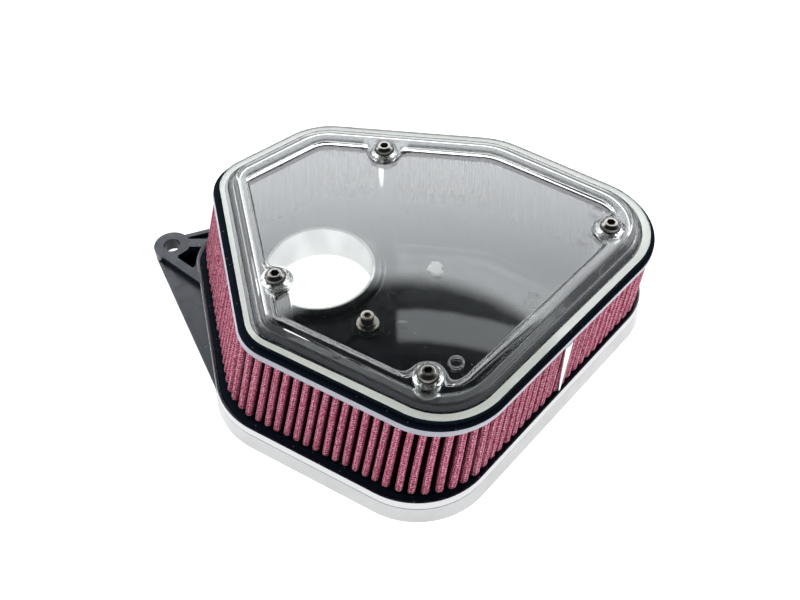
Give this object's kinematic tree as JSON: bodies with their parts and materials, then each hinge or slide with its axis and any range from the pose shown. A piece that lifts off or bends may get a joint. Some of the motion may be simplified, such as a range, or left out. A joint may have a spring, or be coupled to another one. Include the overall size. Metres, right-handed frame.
{
  "type": "air filter",
  "caption": "Six-sided motorcycle air filter: pleated gauze element between a bored backing plate with a side bracket and a clear bolted cover.",
  "frame": {"origin": "middle of the bounding box, on the plane of the backing plate's underside", "axes": "+Z from the engine side out towards the clear cover, +X along the longest extent away from the mounting ear, +Y towards the short back edge"},
  "size_m": [0.2688, 0.2178, 0.07],
  "materials": {
    "aluminium_plate": "polished",
    "black_plastic": "glossy",
    "black_rubber": "satin",
    "grey_sealant": "satin",
    "red_gauze": "oiled cotton under wire mesh",
    "clear_polycarbonate": "clear",
    "bright_steel": "polished",
    "zinc_steel": "zinc plated"
  },
  "bodies": {
    "base": {"backing_plate": "aluminium_plate", "intake_sleeve": "aluminium_plate", "intake_gasket": "black_rubber", "base_tray": "black_plastic", "hold_down_washer": "zinc_steel", "hold_down_spacer": "zinc_steel", "hold_down_bolt": "zinc_steel", "pillar_1": "aluminium_plate", "pillar_2": "aluminium_plate", "pillar_3": "aluminium_plate", "pillar_4": "aluminium_plate", "pillar_bolt_1": "zinc_steel", "pillar_bolt_2": "zinc_steel", "pillar_bolt_3": "zinc_steel", "pillar_bolt_4": "zinc_steel"},
    "element": {"element_lower_cap": "black_rubber", "pleated_media": "red_gauze", "seam_clip": "aluminium_plate", "potting_bead": "grey_sealant", "element_upper_cap": "black_rubber"},
    "cover": {"clear_cover": "clear_polycarbonate"},
    "screw_1": {"cover_screw_1": "bright_steel"},
    "screw_2": {"cover_screw_2": "bright_steel"},
    "screw_3": {"cover_screw_3": "bright_steel"},
    "screw_4": {"cover_screw_4": "bright_steel"}
  },
  "joints": [
    {"name": "element_lift", "type": "slide", "parent": "base", "child": "element", "axis": [0, 0, 1], "range_m": [0, 0.06]},
    {"name": "cover_lift", "type": "slide", "parent": "element", "child": "cover", "axis": [0, 0, 1], "range_m": [0, 0.04]},
    {"name": "screw_1_out", "type": "slide", "parent": "cover", "child": "screw_1", "axis": [0, 0, 1], "range_m": [0, 0.03]},
    {"name": "screw_2_out", "type": "slide", "parent": "cover", "child": "screw_2", "axis": [0, 0, 1], "range_m": [0, 0.03]},
    {"name": "screw_3_out", "type": "slide", "parent": "cover", "child": "screw_3", "axis": [0, 0, 1], "range_m": [0, 0.03]},
    {"name": "screw_4_out", "type": "slide", "parent": "cover", "child": "screw_4", "axis": [0, 0, 1], "range_m": [0, 0.03]}
  ]
}
